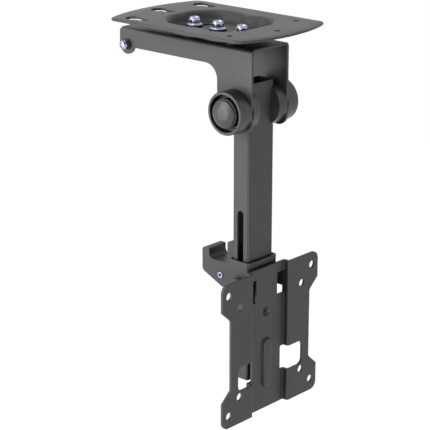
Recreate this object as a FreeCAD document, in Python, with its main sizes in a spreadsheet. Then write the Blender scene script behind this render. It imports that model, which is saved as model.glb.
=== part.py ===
import FreeCAD, Part
import math
import os
import Sketcher

# Fold-up ceiling mount for a small screen, hanging straight down.
# Z = 0 is the ceiling, the origin is on the swivel axis, X is across the screen and +Y is behind it.
# All lengths are in millimetres and all angles in degrees.

driving_sizes = {
    # ceiling plate
    "plate_width": 102,
    "plate_rear": 72,
    "plate_front": 76,
    "plate_rear_bow": 10.5,
    "plate_front_bow": 11,
    "plate_corner_round": 4.5,
    "plate_thick": 1.5,
    "dish_width": 67,
    "dish_rear": 44,
    "dish_front": 41,
    "dish_depth": 8,
    "dish_slope": 3,
    "dish_rear_round": 26,
    "dish_waist_in": 8,
    "dish_waist_front": 7,
    "dish_waist_long": 20,
    "dish_waist_round": 5,
    "dish_shoulder_round": 6,
    "dish_lip_round": 3,
    "keyhole_length": 22,
    "keyhole_width": 6.2,
    "keyhole_head": 12.5,
    "keyhole_side": 38,
    "keyhole_side_rear": 49,
    "keyhole_middle_rear": 58.5,
    "screw_hole": 5,
    "screw_hole_side": 38.5,
    "screw_hole_side_front": 46.5,
    "screw_hole_middle_front": 60,
    # swivel
    "swivel_bolt": 5,
    "swivel_bolt_fit": 0.05,
    "guide_radius": 24.6,
    "guide_slot_play": 0.3,
    "swivel_half_range": 30,
    "swivel_slot_spare": 1,
    "swivel_disc_wide": 34,
    "swivel_disc_thick": 2.9,
    "swivel_washer_wide": 13.8,
    "swivel_washer_thick": 1.2,
    "swivel_rest_gap": 0.15,
    "swivel_bolt_sunk": 0.6,
    "flange_nut_wide": 12.6,
    "flange_nut_flats": 8,
    "flange_nut_flange": 1.4,
    "flange_nut_tall": 4.8,
    "round_head_wide": 12,
    "round_head_tall": 3,
    # channel arm
    "arm_width": 43,
    "arm_sheet": 2,
    "arm_bend": 3.5,
    "arm_side_tall": 16,
    "arm_rear_round": 4.5,
    "arm_inner_round": 12,
    "hinge_offset": 37,
    "hinge_drop": 49,
    "leg_front": 16.4,
    "leg_rear": 18.4,
    "leg_below_hinge": 16.8,
    "catch_bolt": 4,
    "catch_bolt_reach": 115,
    "catch_bolt_drop": 14.05,
    "catch_ear_radius": 7.9,
    "catch_washer_wide": 8.6,
    "catch_washer_thick": 0.8,
    "catch_nut_flats": 7,
    "catch_nut_tall": 3.2,
    "catch_head_wide": 7.6,
    "catch_head_tall": 2.4,
    "catch_bolt_end": 1.2,
    # hinge with its knobs
    "hinge_bolt": 8,
    "hinge_bolt_fit": 0.05,
    "hinge_nut_flats": 13,
    "hinge_nut_tall": 5,
    "hinge_washer_wide": 16,
    "hinge_washer_thick": 1.6,
    "hinge_head_tall": 5.3,
    "hinge_spacer_wide": 34.6,
    "hinge_rest_gap": 0.1,
    "hinge_spacer_foot_wide": 33.2,
    "hinge_dish_deep": 5.15,
    "hinge_dish_wall": 3.3,
    "hinge_dish_floor_wide": 18,
    "hinge_dish_foot_wide": 33.6,
    "hinge_dish_mouth_wide": 35.2,
    "bush_wall": 2.5,
    "knob_wide": 34,
    "knob_tall": 12.5,
    "knob_edge_round": 1.1,
    "knob_wall": 2.5,
    "knob_recess_wide": 30.6,
    "knob_recess_deep": 7,
    "knob_floor": 2,
    "knob_step_wide": 26.6,
    "knob_step_tall": 1,
    "knob_cap_wide": 24.7,
    "knob_cap_stem": 20,
    "knob_cap_rise": 3.4,
    "knob_cap_edge": 5.8,
    "knob_cap_edge_round": 0.6,
    "knob_cap_hollow": 16.6,
    "knob_cap_wall": 2,
    # mast
    "mast_width": 29.5,
    "mast_depth": 16.5,
    "mast_wall": 1.6,
    "mast_round": 2,
    "mast_above_hinge": 20,
    "mast_below_hinge": 220,
    "mast_slot_width": 6.2,
    "mast_slot_top": 81.2,
    "mast_plug_deep": 12,
    "mast_plug_lip": 2,
    "mast_plug_fit": 0.05,
    # slider with its hook
    "slider_wall": 1.5,
    "slider_side_gap": 1,
    "slider_front_gap": 1.45,
    "slider_rear_gap": 0.25,
    "slider_round": 3,
    "slider_top": 122,
    "slider_length": 49,
    "hook_width": 20,
    "hook_reach": 44.6,
    "hook_tip_thick": 7.2,
    "hook_root_thick": 7.7,
    "hook_root_top": 111.6,
    "hook_tip_top": 121.75,
    "hook_slot_bottom": 130,
    "hook_slot_round": 4,
    "hook_root_round": 3,
    "hook_foot_round": 3,
    "hook_outer_round": 4,
    "hook_tip_outer_round": 2.2,
    "hook_tip_inner_round": 1.2,
    "hook_top_round": 1.1,
    "hook_outer_bottom": 141.3,
    "hook_bottom": 151,
    "hook_foot_reach": 23.5,
    "hook_rivet_wide": 5.2,
    "hook_rivet_bore": 2.4,
    "hook_rivet_proud": 0.8,
    "hook_rivet_reach": 25,
    "hook_rivet_drop": 141.4,
    "guide_pin": 6,
    "guide_pin_drop": 152,
    "guide_block_tall": 32,
    "guide_block_gap": 0.2,
    # screen plate
    "screen_hole_pitch": 100,
    "inner_hole_pitch": 75,
    "screen_hole": 6.4,
    "screen_hole_drop": 137.4,
    "screen_side_past_holes": 7.5,
    "screen_waist_inside_holes": 2.5,
    "screen_edge_past_holes": 10.2,
    "screen_lobe_tall": 12,
    "screen_slant_tall": 9,
    "screen_lobe_round": 6.5,
    "screen_sheet": 2,
    "screen_recess": 4.9,
    "screen_recess_half": 21,
    "screen_bend": 2,
    "upper_window_inner": 12.5,
    "upper_window_top": 135.5,
    "upper_window_tall": 19,
    "window_inner_round": 1,
    "ear_depth": 17,
    "ear_top": 135,
    "ear_tall": 14,
    "ear_round": 3,
    "ear_rivet": 5,
    "ear_rivet_forward": 5.2,
    "ear_rivet_drop": 141,
    "ear_rivet_head_wide": 9,
    "ear_rivet_head_tall": 1.6,
    "ear_spacer_wide": 10,
    "lower_window_inner": 16.9,
    "lower_window_outer": 39.2,
    "lower_window_drop": 62.4,
    "lower_window_tall": 20.5,
    "lower_window_round": 5,
    "rib_width": 11,
    "rib_drop": 50,
    "rib_length": 37,
    "rib_rise": 1,
    "rib_flank": 1.3,
    "screen_stand_off": 2,
    "centre_screw": 4,
    "centre_screw_drop": 27.5,
    "centre_screw_socket": 2.2,
    "centre_screw_proud": 0.6,
    "centre_dimple_mouth": 9,
    "centre_dimple_floor": 5.4,
}


class Size:
    """A length or an angle with the formula that gives it in the sheet and its value."""

    def __init__(self, formula, value):
        self.formula = formula
        self.value = float(value)

    def join(self, sign, other, value):
        return Size(f"({self.formula} {sign} {size_of(other).formula})", value)

    def __add__(self, other):
        return self.join("+", other, self.value + size_of(other).value)

    def __sub__(self, other):
        return self.join("-", other, self.value - size_of(other).value)

    def __mul__(self, other):
        return self.join("*", other, self.value * size_of(other).value)

    def __truediv__(self, other):
        return self.join("/", other, self.value / size_of(other).value)

    def __neg__(self):
        return Size(f"(-1 * {self.formula})", -self.value)


def size_of(number):
    if isinstance(number, Size):
        return number
    return Size(f"({number})", number)


def cell(alias):
    return Size(f"Sizes.{alias}", driving_sizes[alias])


document = FreeCAD.newDocument("CeilingMount")
sheet = document.addObject("Spreadsheet::Sheet", "Sizes")
for row, (alias, number) in enumerate(driving_sizes.items(), start=1):
    sheet.set(f"A{row}", alias)
    sheet.set(f"B{row}", str(number))
    sheet.setAlias(f"B{row}", alias)
document.recompute()

pieces = []
zero = size_of(0)


def bind(item, property_name, amount):
    """Tie a property to the sheet."""
    item.setExpression(property_name, size_of(amount).formula)


def place(item, x=0, y=0, z=0):
    """Tie the place of an object to the sheet."""
    bind(item, "Placement.Base.x", x)
    bind(item, "Placement.Base.y", y)
    bind(item, "Placement.Base.z", z)
    return item


def piece(item, label):
    """Name a finished piece and put it on the list of nodes."""
    item.Label = label
    pieces.append(item)
    return item


def new_body(name):
    return document.addObject("PartDesign::Body", name + "_body")


def new_sketch(body, plane="XY_Plane", offset=0):
    """A sketch on one of the body's own planes, moved along the plane's normal."""
    base = next(item for item in body.Origin.OriginFeatures if item.Role == plane)
    sketch = body.newObject("Sketcher::SketchObject", f"{body.Name}_sketch")
    sketch.AttachmentSupport = [(base, "")]
    sketch.MapMode = "FlatFace"
    bind(sketch, "AttachmentOffset.Base.z", offset)
    return sketch


def fix_point(sketch, geometry, end, x, y):
    """Dimension one point of the sketch from its origin."""
    for kind, amount in (("DistanceX", x), ("DistanceY", y)):
        amount = size_of(amount)
        index = sketch.addConstraint(Sketcher.Constraint(kind, -1, 1, geometry, end, amount.value))
        sketch.setExpression(f"Constraints[{index}]", amount.formula)


def fix_radius(sketch, geometry, radius):
    index = sketch.addConstraint(Sketcher.Constraint("Radius", geometry, radius.value))
    sketch.setExpression(f"Constraints[{index}]", radius.formula)


def flat_vector(x, y):
    return FreeCAD.Vector(size_of(x).value, size_of(y).value, 0)


def rounded_corner(before, corner, after, radius):
    """Entry, exit, arc and turning sense of a rounded corner."""
    back = (before - corner).normalize()
    ahead = (after - corner).normalize()
    half_angle = back.getAngle(ahead) / 2
    reach = radius / math.tan(half_angle)
    entry = corner + back * reach
    leave = corner + ahead * reach
    centre = corner + (back + ahead).normalize() * (radius / math.sin(half_angle))
    turns_left = (corner - before).cross(after - corner).z > 0
    first, last = (entry, leave) if turns_left else (leave, entry)
    start = math.atan2(first.y - centre.y, first.x - centre.x)
    stop = math.atan2(last.y - centre.y, last.x - centre.x)
    circle = Part.Circle(centre, FreeCAD.Vector(0, 0, 1), radius)
    return entry, leave, Part.ArcOfCircle(circle, start, stop), turns_left


def outline(sketch, corners):
    """Draw a closed outline; a third value rounds its corner."""
    points = [flat_vector(corner[0], corner[1]) for corner in corners]
    count = len(points)
    joins = []
    for index, corner in enumerate(corners):
        join = None
        if len(corner) > 2:
            join = rounded_corner(points[index - 1], points[index], points[(index + 1) % count],
                                  size_of(corner[2]).value)
        joins.append(join)
    lines = []
    for index in range(count):
        following = (index + 1) % count
        start = joins[index][1] if joins[index] else points[index]
        stop = joins[following][0] if joins[following] else points[following]
        lines.append(sketch.addGeometry(Part.LineSegment(start, stop)))
    for index, corner in enumerate(corners):
        incoming = lines[index - 1]
        outgoing = lines[index]
        if joins[index] is None:
            sketch.addConstraint(Sketcher.Constraint("Coincident", incoming, 2, outgoing, 1))
            fix_point(sketch, outgoing, 1, corner[0], corner[1])
            continue
        arc = sketch.addGeometry(joins[index][2])
        entry_end, leave_end = (1, 2) if joins[index][3] else (2, 1)
        sketch.addConstraint(Sketcher.Constraint("Tangent", incoming, 2, arc, entry_end))
        sketch.addConstraint(Sketcher.Constraint("Tangent", outgoing, 1, arc, leave_end))
        fix_radius(sketch, arc, size_of(corner[2]))
        meeting = sketch.addGeometry(Part.Point(points[index]), True)
        sketch.addConstraint(Sketcher.Constraint("PointOnObject", meeting, 1, incoming))
        sketch.addConstraint(Sketcher.Constraint("PointOnObject", meeting, 1, outgoing))
        fix_point(sketch, meeting, 1, corner[0], corner[1])
    return sketch


def rectangle(sketch, left, bottom, right, top, rounding=None):
    ends = [(left, bottom), (right, bottom), (right, top), (left, top)]
    if rounding is not None:
        ends = [(x, y, rounding) for x, y in ends]
    return outline(sketch, ends)


def circle(sketch, x, y, radius):
    radius = size_of(radius)
    shape = Part.Circle(flat_vector(x, y), FreeCAD.Vector(0, 0, 1), radius.value)
    geometry = sketch.addGeometry(shape)
    fix_point(sketch, geometry, 3, x, y)
    fix_radius(sketch, geometry, radius)
    return sketch


def finish_feature(body, feature):
    document.recompute()
    body.Tip = feature
    return feature


def pad(body, sketch, length, both_ways=False, backwards=False):
    feature = body.newObject("PartDesign::Pad", f"{body.Name}_pad")
    feature.Profile = sketch
    feature.SideType = "Symmetric" if both_ways else "One side"
    feature.Reversed = backwards
    bind(feature, "Length", length)
    return finish_feature(body, feature)


def cut_through(body, sketch):
    """Cut the sketch through the whole body, both ways."""
    feature = body.newObject("PartDesign::Pocket", f"{body.Name}_cut")
    feature.Profile = sketch
    feature.Type = "ThroughAll"
    feature.SideType = "Symmetric"
    return finish_feature(body, feature)


def cut_deep(body, sketch, length, both_ways=False, backwards=False):
    feature = body.newObject("PartDesign::Pocket", f"{body.Name}_cut")
    feature.Profile = sketch
    feature.SideType = "Symmetric" if both_ways else "One side"
    feature.Reversed = backwards
    bind(feature, "Length", length)
    return finish_feature(body, feature)


def turn(body, sketch, axis):
    """Turn a half section about an axis of its sketch."""
    feature = body.newObject("PartDesign::Revolution", f"{body.Name}_turned")
    feature.Profile = sketch
    feature.ReferenceAxis = (sketch, [axis])
    feature.Angle = 360
    return finish_feature(body, feature)


def loft(body, kind, first, second):
    feature = body.newObject(kind, f"{body.Name}_loft")
    feature.Profile = first
    feature.Sections = [second]
    feature.Ruled = True
    return finish_feature(body, feature)


def round_edges(body, radius, wanted):
    """Round the edges of the last feature whose middle point passes the test."""
    base = body.Tip
    names = []
    for number, edge in enumerate(base.Shape.Edges, start=1):
        middle = edge.valueAt((edge.FirstParameter + edge.LastParameter) / 2)
        if wanted(edge, middle):
            names.append(f"Edge{number}")
    feature = body.newObject("PartDesign::Fillet", f"{body.Name}_round")
    feature.Base = (base, names)
    bind(feature, "Radius", radius)
    return finish_feature(body, feature)


def cylinder_along_x(radius, length, x=0, y=0, z=0):
    """A cylinder that starts at x and runs towards +X."""
    item = document.addObject("Part::Cylinder", "rod")
    bind(item, "Radius", radius)
    bind(item, "Height", length)
    item.Placement.Rotation = FreeCAD.Rotation(FreeCAD.Vector(0, 1, 0), 90)
    return place(item, x, y, z)


def cylinder_along_z(radius, length, x=0, y=0, z=0):
    item = document.addObject("Part::Cylinder", "rod")
    bind(item, "Radius", radius)
    bind(item, "Height", length)
    return place(item, x, y, z)


def hexagon(across_flats, length, x=0, y=0, z=0, along_x=False):
    item = document.addObject("Part::Prism", "hexagon")
    item.Polygon = 6
    bind(item, "Circumradius", size_of(across_flats) / math.sqrt(3))
    bind(item, "Height", length)
    if along_x:
        item.Placement.Rotation = FreeCAD.Rotation(FreeCAD.Vector(0, 1, 0), 90)
    return place(item, x, y, z)


def fuse(*items):
    item = document.addObject("Part::MultiFuse", "fused")
    item.Shapes = list(items)
    document.recompute()
    return item


def cut(base, tool):
    item = document.addObject("Part::Cut", "cut")
    item.Base = base
    item.Tool = tool
    document.recompute()
    return item


def group(items):
    """Several equal pieces that share one node as separate solids."""
    item = document.addObject("Part::Compound", "group")
    item.Links = list(items)
    document.recompute()
    return item


def turned_along_x(name, half_section, x=0, y=0, z=0):
    """A turned solid; its half section is given as (along X, radius) corners."""
    body = new_body(name)
    sketch = outline(new_sketch(body), half_section)
    turn(body, sketch, "H_Axis")
    return place(body, x, y, z)


# places that several pieces share
arm_top = -(cell("dish_depth") + cell("plate_thick") + cell("swivel_disc_thick") + cell("swivel_rest_gap"))
dish_floor_top = -cell("dish_depth")
dish_floor_bottom = dish_floor_top - cell("plate_thick")
hinge_y = -cell("hinge_offset")
hinge_z = arm_top - cell("hinge_drop")
arm_half = cell("arm_width") / 2
cheek_inner = arm_half - cell("arm_sheet")
mast_half_width = cell("mast_width") / 2
mast_half_depth = cell("mast_depth") / 2
slider_half_width = mast_half_width + cell("slider_side_gap") + cell("slider_wall")
slider_front = mast_half_depth + cell("slider_front_gap") + cell("slider_wall")
slider_rear = mast_half_depth + cell("slider_rear_gap") + cell("slider_wall")
hinge_dish_floor = mast_half_width - cell("hinge_dish_deep")
hinge_dish_foot = mast_half_width - cell("hinge_dish_wall")
catch_y = cell("catch_bolt_reach")
catch_z = cell("hinge_drop") - cell("catch_bolt_drop")
swivel_places = [size_of(0), cell("guide_radius"), -cell("guide_radius")]
swivel_hole = cell("swivel_bolt") / 2 + cell("swivel_bolt_fit")

# shares that keep neighbouring rounds from meeting
front_round_share = 0.85
full_round_share = 0.98


def dish_outline(body, offset, inset):
    """The dish's waisted outline at one height, moved inwards by the inset."""
    half = cell("dish_width") / 2 - inset
    rear = cell("dish_rear") - inset
    front = -(cell("dish_front") - inset)
    waist = half - cell("dish_waist_in")
    waist_y = -cell("dish_waist_front")
    waist_end = cell("dish_waist_long") / 2
    rear_round = cell("dish_rear_round") - inset
    front_round = (cell("dish_front") + waist_y - waist_end) * front_round_share - inset
    shoulder = cell("dish_shoulder_round") - inset
    waist_round = cell("dish_waist_round") + inset
    right = [(half, front, front_round), (half, waist_y - waist_end, shoulder), (waist, waist_y, waist_round),
             (half, waist_y + waist_end, shoulder), (half, rear, rear_round)]
    left = [(-corner[0], *corner[1:]) for corner in reversed(right)]
    return outline(new_sketch(body, offset=offset), right + left)


def plate_edge(sketch):
    """Straight sides joined by a bowed front and a bowed rear end."""
    half = cell("plate_width") / 2
    rear_corner = cell("plate_rear") - cell("plate_rear_bow")
    front_corner = -(cell("plate_front") - cell("plate_front_bow"))
    crowns = {"rear": flat_vector(0, cell("plate_rear")), "front": flat_vector(0, -cell("plate_front"))}
    right_rear = flat_vector(half, rear_corner)
    left_rear = flat_vector(-half, rear_corner)
    right_front = flat_vector(half, front_corner)
    left_front = flat_vector(-half, front_corner)
    right = sketch.addGeometry(Part.LineSegment(right_front, right_rear))
    rear = sketch.addGeometry(Part.Arc(right_rear, crowns["rear"], left_rear))
    left = sketch.addGeometry(Part.LineSegment(left_rear, left_front))
    front = sketch.addGeometry(Part.Arc(left_front, crowns["front"], right_front))
    for first, second in ((right, rear), (rear, left), (left, front), (front, right)):
        sketch.addConstraint(Sketcher.Constraint("Coincident", first, 2, second, 1))
    fix_point(sketch, right, 1, half, front_corner)
    fix_point(sketch, right, 2, half, rear_corner)
    fix_point(sketch, left, 1, -half, rear_corner)
    fix_point(sketch, left, 2, -half, front_corner)
    for arc, bow in ((rear, cell("plate_rear_bow")), (front, cell("plate_front_bow"))):
        fix_radius(sketch, arc, (half * half + bow * bow) / (bow * 2))
    return sketch


def keyhole(body, x, rear):
    """A screw slot along Y with a round head opening at its rear end."""
    slot_half = cell("keyhole_width") / 2
    head = cell("keyhole_head") / 2
    length_half = cell("keyhole_length") / 2
    bottom = rear - length_half
    top = rear + length_half
    slot = rectangle(new_sketch(body), x - slot_half, bottom, x + slot_half, top - head,
                     slot_half * full_round_share)
    cut_through(body, slot)
    cut_through(body, circle(new_sketch(body), x, top - head, head))


def arc_slot(body, middle_angle, radius, half_angle, half_width):
    """A slot along an arc round the origin, with round ends."""
    sketch = new_sketch(body)
    up = FreeCAD.Vector(0, 0, 1)
    origin = FreeCAD.Vector()
    first = math.radians(middle_angle - half_angle.value)
    last = math.radians(middle_angle + half_angle.value)
    outer = sketch.addGeometry(Part.ArcOfCircle(
        Part.Circle(origin, up, (radius + half_width).value), first, last))
    inner = sketch.addGeometry(Part.ArcOfCircle(
        Part.Circle(origin, up, (radius - half_width).value), first, last))
    for arc, amount in ((outer, radius + half_width), (inner, radius - half_width)):
        sketch.addConstraint(Sketcher.Constraint("Coincident", arc, 3, -1, 1))
        fix_radius(sketch, arc, amount)
    for end, angle, turned, side in ((2, last, 0, 1), (1, first, math.pi, -1)):
        centre = FreeCAD.Vector(math.cos(angle), math.sin(angle), 0) * radius.value
        cap = sketch.addGeometry(Part.ArcOfCircle(
            Part.Circle(centre, up, half_width.value), angle + turned, angle + turned + math.pi))
        near_outer, near_inner = (1, 2) if side > 0 else (2, 1)
        sketch.addConstraint(Sketcher.Constraint("Coincident", outer, end, cap, near_outer))
        sketch.addConstraint(Sketcher.Constraint("Coincident", inner, end, cap, near_inner))
        spoke = sketch.addGeometry(Part.LineSegment(origin, centre), True)
        sketch.addConstraint(Sketcher.Constraint("Coincident", spoke, 1, -1, 1))
        sketch.addConstraint(Sketcher.Constraint("Coincident", spoke, 2, cap, 3))
        sketch.addConstraint(Sketcher.Constraint("PointOnObject", outer, end, spoke))
        index = sketch.addConstraint(Sketcher.Constraint("Angle", -1, 1, spoke, 1, angle))
        formula = (size_of(middle_angle) + half_angle * side).formula
        sketch.setExpression(f"Constraints[{index}]", f"{formula} * 1 deg")
    cut_through(body, sketch)


def make_ceiling_plate():
    body = new_body("ceiling_plate")
    pad(body, plate_edge(new_sketch(body)), cell("plate_thick"), backwards=True)
    corner_x = cell("plate_width").value / 2
    round_edges(body, cell("plate_corner_round"),
                lambda edge, middle: abs(abs(middle.x) - corner_x) < 0.01
                and edge.BoundBox.ZLength > 1 and edge.BoundBox.YLength < 0.01)
    slope = cell("dish_slope")
    loft(body, "PartDesign::AdditiveLoft",
         dish_outline(body, -cell("plate_thick"), zero), dish_outline(body, dish_floor_bottom, slope))
    wall = cell("plate_thick") * 0.75
    top_cut = dish_outline(body, 0, wall)
    floor_cut = dish_outline(body, dish_floor_top, slope + wall)
    loft(body, "PartDesign::SubtractiveLoft", top_cut, floor_cut)
    round_edges(body, cell("dish_lip_round"),
                lambda edge, middle: abs(middle.z) < 0.01
                and abs(middle.x) < cell("dish_width").value / 2
                and -cell("dish_front").value < middle.y < cell("dish_rear").value)
    side = cell("keyhole_side")
    for x, rear in ((-side, cell("keyhole_side_rear")), (side, cell("keyhole_side_rear")),
                    (zero, cell("keyhole_middle_rear"))):
        keyhole(body, x, rear)
    holes = new_sketch(body)
    hole_side = cell("screw_hole_side")
    for x, front in ((-hole_side, cell("screw_hole_side_front")), (hole_side, cell("screw_hole_side_front")),
                     (zero, cell("screw_hole_middle_front"))):
        circle(holes, x, -front, cell("screw_hole") / 2)
    circle(holes, 0, 0, swivel_hole)
    cut_through(body, holes)
    half_range = cell("swivel_half_range") + cell("swivel_slot_spare")
    half_width = cell("swivel_bolt") / 2 + cell("guide_slot_play")
    for middle_angle in (90, 270):
        arc_slot(body, middle_angle, cell("guide_radius"), half_range, half_width)
    piece(body, "ceiling_plate")


def make_swivel():
    disc = cylinder_along_z(cell("swivel_disc_wide") / 2, cell("swivel_disc_thick"), z=arm_top)
    bore = cylinder_along_z(swivel_hole, cell("swivel_disc_thick"), z=arm_top)
    piece(cut(disc, bore), "swivel_disc")
    washer_top = dish_floor_top + cell("swivel_rest_gap") + cell("swivel_washer_thick")
    shank_top = washer_top + cell("flange_nut_tall") - cell("swivel_bolt_sunk")
    head_top = arm_top - cell("arm_sheet")
    bolts = []
    washers = []
    nuts = []
    for y in swivel_places:
        shank = cylinder_along_z(cell("swivel_bolt") / 2, shank_top - head_top, y=y, z=head_top)
        dome = document.addObject("Part::Sphere", "dome")
        half = cell("round_head_wide") / 2
        tall = cell("round_head_tall")
        dome_radius = (half * half + tall * tall) / (tall * 2)
        bind(dome, "Radius", dome_radius)
        place(dome, 0, y, head_top - tall + dome_radius)
        slab = cylinder_along_z(half, tall, y=y, z=head_top - tall)
        head = document.addObject("Part::MultiCommon", "head")
        head.Shapes = [dome, slab]
        document.recompute()
        bolts.append(fuse(shank, head))
        washer = cylinder_along_z(cell("swivel_washer_wide") / 2, cell("swivel_washer_thick"),
                                  y=y, z=washer_top - cell("swivel_washer_thick"))
        hole = cylinder_along_z(cell("swivel_bolt") / 2, cell("swivel_washer_thick"),
                                y=y, z=washer_top - cell("swivel_washer_thick"))
        washers.append(cut(washer, hole))
        flange = cylinder_along_z(cell("flange_nut_wide") / 2, cell("flange_nut_flange"), y=y, z=washer_top)
        flats = hexagon(cell("flange_nut_flats"), cell("flange_nut_tall"), y=y, z=washer_top)
        thread = cylinder_along_z(cell("swivel_bolt") / 2, cell("flange_nut_tall"), y=y, z=washer_top)
        nuts.append(cut(fuse(flange, flats), thread))
    piece(bolts[0], "swivel_pivot_bolt")
    piece(group(bolts[1:]), "swivel_guide_bolts")
    piece(group(washers), "swivel_washers")
    piece(group(nuts), "swivel_nuts")


def make_arm_channel():
    """A folded channel; its cheeks reach down to the hinge and its rear ears carry the catch bolt."""
    body = new_body("arm_channel")
    front = -cell("leg_front")
    rear = cell("leg_rear")
    bottom = -cell("leg_below_hinge")
    top = cell("hinge_drop")
    side_bottom = top - cell("arm_side_tall")
    ear_radius = cell("catch_ear_radius")
    reach = catch_y + ear_radius * 1.01
    profile = new_sketch(body, "YZ_Plane")
    leg_round = (rear - front) / 2 * 0.93
    outline(profile, [(front, top), (front, bottom, leg_round), (rear, bottom, leg_round),
                      (rear, side_bottom, cell("arm_inner_round")), (reach, side_bottom),
                      (reach, top, cell("arm_rear_round"))])
    pad(body, profile, cell("arm_width"), both_ways=True)
    ear = circle(new_sketch(body, "YZ_Plane"), catch_y, catch_z, ear_radius)
    pad(body, ear, cell("arm_width"), both_ways=True)
    half = arm_half.value
    top_z = top.value
    round_edges(body, cell("arm_bend"),
                lambda edge, middle: abs(abs(middle.x) - half) < 0.01 and abs(middle.z - top_z) < 0.01
                and edge.BoundBox.YLength > 20)
    inside = new_sketch(body, "XZ_Plane")
    inner_bend = cell("arm_bend") - cell("arm_sheet")
    outline(inside, [(-cheek_inner, bottom * 2), (cheek_inner, bottom * 2),
                     (cheek_inner, top - cell("arm_sheet"), inner_bend),
                     (-cheek_inner, top - cell("arm_sheet"), inner_bend)])
    cut_through(body, inside)
    side_holes = new_sketch(body, "YZ_Plane")
    circle(side_holes, 0, 0, cell("hinge_bolt") / 2)
    circle(side_holes, catch_y, catch_z, cell("catch_bolt") / 2)
    cut_through(body, side_holes)
    web_holes = new_sketch(body)
    for y in swivel_places:
        circle(web_holes, 0, y - hinge_y, cell("swivel_bolt") / 2)
    cut_through(body, web_holes)
    place(body, 0, hinge_y, hinge_z)
    piece(body, "arm_channel")


def make_catch_bolt():
    y = hinge_y + catch_y
    z = hinge_z + catch_z
    radius = cell("catch_bolt") / 2
    washer = cell("catch_washer_thick")
    head_x = arm_half + washer
    nut_x = -(arm_half + washer + cell("catch_nut_tall"))
    end_x = nut_x - cell("catch_bolt_end")
    shank = cylinder_along_x(radius, head_x - end_x, end_x, y, z)
    head = cylinder_along_x(cell("catch_head_wide") / 2, cell("catch_head_tall"), head_x, y, z)
    piece(fuse(shank, head), "catch_bolt")
    nut = hexagon(cell("catch_nut_flats"), cell("catch_nut_tall"), nut_x, y, z, along_x=True)
    thread = cylinder_along_x(radius, cell("catch_nut_tall"), nut_x, y, z)
    piece(cut(nut, thread), "catch_bolt_nut")
    washers = []
    for x in (arm_half, -(arm_half + washer)):
        ring = cylinder_along_x(cell("catch_washer_wide") / 2, washer, x, y, z)
        washers.append(cut(ring, cylinder_along_x(radius, washer, x, y, z)))
    piece(group(washers), "catch_bolt_washers")


def knob_housing(side, name):
    """A round cover, open to the cheek inside, with a stepped recess for its cap outside."""
    tall = cell("knob_tall")
    radius = cell("knob_wide") / 2
    inner = radius - cell("knob_wall")
    recess = cell("knob_recess_wide") / 2
    recess_floor = tall - cell("knob_recess_deep")
    step = cell("knob_step_wide") / 2
    step_top = recess_floor + cell("knob_step_tall")
    stem = cell("knob_cap_stem") / 2
    under = recess_floor - cell("knob_floor")
    half_section = [(0, inner), (0, radius), (tall, radius, cell("knob_edge_round")), (tall, recess),
                    (recess_floor, recess), (recess_floor, step), (step_top, step), (step_top, stem),
                    (under, stem), (under, inner)]
    corners = [(size_of(corner[0]) * side, *corner[1:]) for corner in half_section]
    piece(turned_along_x(name, corners, arm_half * side, hinge_y, hinge_z), name)


def knob_cap(side, name):
    """A domed cup on a stem that plugs the housing; the bolt's end stands inside it."""
    recess_floor = cell("knob_tall") - cell("knob_recess_deep")
    under = recess_floor - cell("knob_floor")
    seat = recess_floor + cell("knob_step_tall")
    rim = seat + cell("knob_cap_edge")
    crown = rim + cell("knob_cap_rise")
    radius = cell("knob_cap_wide") / 2
    stem = cell("knob_cap_stem") / 2
    hollow = cell("knob_cap_hollow") / 2
    ceiling = crown - cell("knob_cap_wall")
    half_section = [(under, hollow), (under, stem), (seat, stem), (seat, radius),
                    (rim, radius, cell("knob_cap_edge_round")), (crown, radius * 0.5, radius * 0.9), (crown, 0),
                    (ceiling, 0), (ceiling, hollow)]
    corners = [(corner[0] * side, *corner[1:]) for corner in half_section]
    piece(turned_along_x(name, corners, arm_half * side, hinge_y, hinge_z), name)


def make_hinge():
    bolt = cell("hinge_bolt") / 2
    washer = cell("hinge_washer_thick")
    nut_x = -(arm_half + washer + cell("hinge_nut_tall"))
    head_x = arm_half + washer
    shank = cylinder_along_x(bolt, head_x - nut_x, nut_x, hinge_y, hinge_z)
    head = hexagon(cell("hinge_nut_flats"), cell("hinge_head_tall"), head_x, hinge_y, hinge_z, along_x=True)
    piece(fuse(shank, head), "hinge_bolt")
    nut = hexagon(cell("hinge_nut_flats"), cell("hinge_nut_tall"), nut_x, hinge_y, hinge_z, along_x=True)
    thread = cylinder_along_x(bolt, cell("hinge_nut_tall"), nut_x, hinge_y, hinge_z)
    piece(cut(nut, thread), "hinge_nut")
    washers = []
    for x in (arm_half, -(arm_half + washer)):
        ring = cylinder_along_x(cell("hinge_washer_wide") / 2, washer, x, hinge_y, hinge_z)
        washers.append(cut(ring, cylinder_along_x(bolt, washer, x, hinge_y, hinge_z)))
    piece(group(washers), "hinge_washers")
    for side, word in ((-1, "left"), (1, "right")):
        knob_housing(side, f"knob_housing_{word}")
        knob_cap(side, f"knob_cap_{word}")
    gap = cell("hinge_rest_gap")
    floor_radius = cell("hinge_dish_floor_wide") / 2
    foot_radius = cell("hinge_spacer_foot_wide") / 2
    foot_share = (foot_radius - floor_radius) / (cell("hinge_dish_foot_wide") / 2 - floor_radius)
    foot_x = hinge_dish_floor + gap + (hinge_dish_foot - hinge_dish_floor) * foot_share
    half_section = [(hinge_dish_floor + gap, bolt), (hinge_dish_floor + gap, floor_radius), (foot_x, foot_radius),
                    (cheek_inner, cell("hinge_spacer_wide") / 2), (cheek_inner, bolt)]
    for side, word in ((-1, "left"), (1, "right")):
        corners = [(corner[0] * side, corner[1]) for corner in half_section]
        name = f"hinge_spacer_{word}"
        piece(turned_along_x(name, corners, 0, hinge_y, hinge_z), name)


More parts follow.
